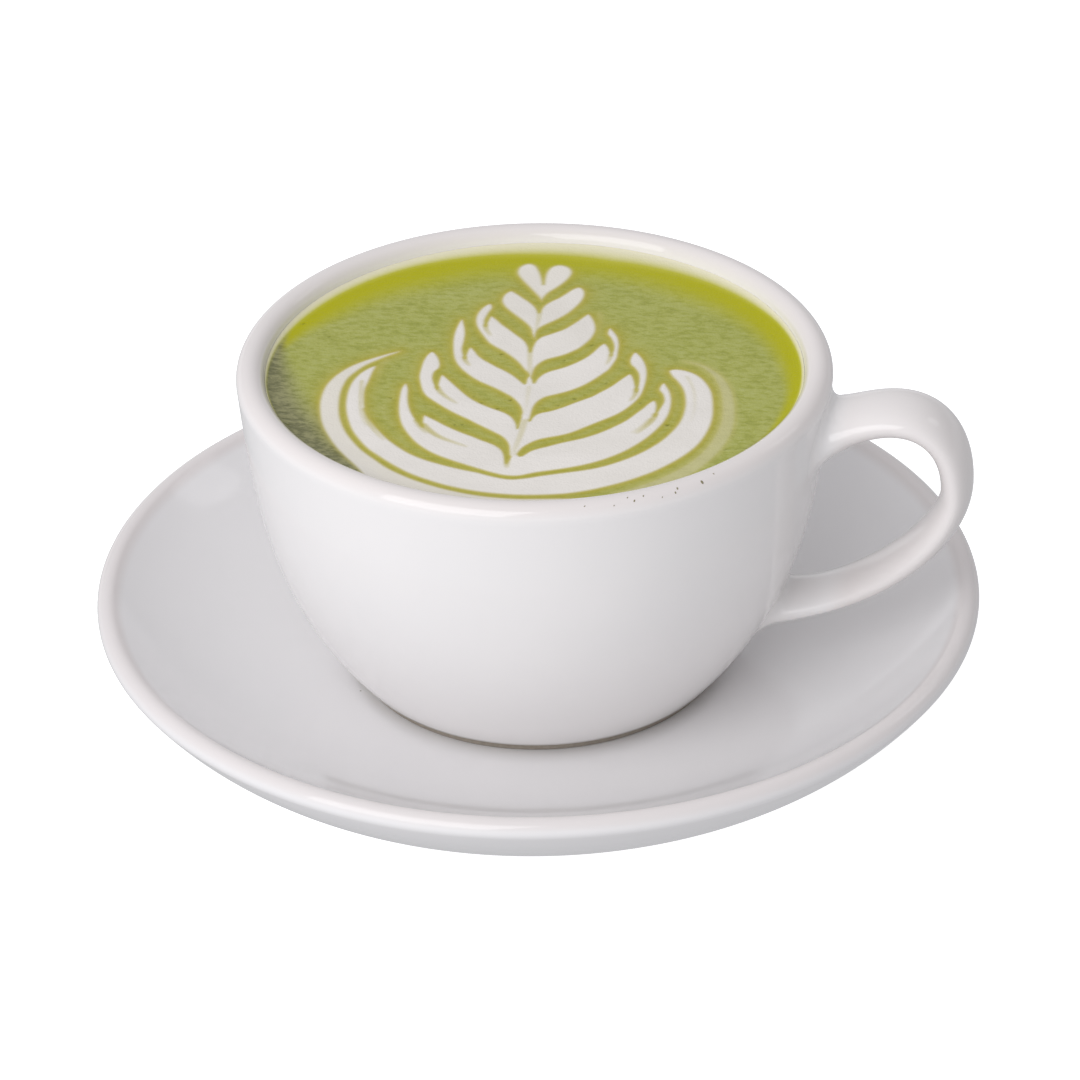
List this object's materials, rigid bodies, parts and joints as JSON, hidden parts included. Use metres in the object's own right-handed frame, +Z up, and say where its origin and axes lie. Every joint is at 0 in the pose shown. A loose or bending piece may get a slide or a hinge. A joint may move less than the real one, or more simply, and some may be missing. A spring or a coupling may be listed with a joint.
{
  "type": "matcha latte",
  "caption": "matcha latte with a poured leaf pattern in a round white china cup with a strap handle, standing on its saucer",
  "frame": {"origin": "centre of the saucer's foot ring, on the surface that the saucer stands on", "axes": "+Z is up along the common axis of saucer and cup, +X points along the cup's handle"},
  "size_m": [0.1604, 0.1604, 0.0696],
  "materials": {
    "saucer_glaze": "glossy white glaze",
    "cup_glaze": "glossy white glaze",
    "matcha_milk": "soft sheen of fine foam, stands in for the drink"
  },
  "bodies": {
    "root": {"saucer": "saucer_glaze", "cup": "cup_glaze", "latte": "matcha_milk"}
  },
  "joints": []
}
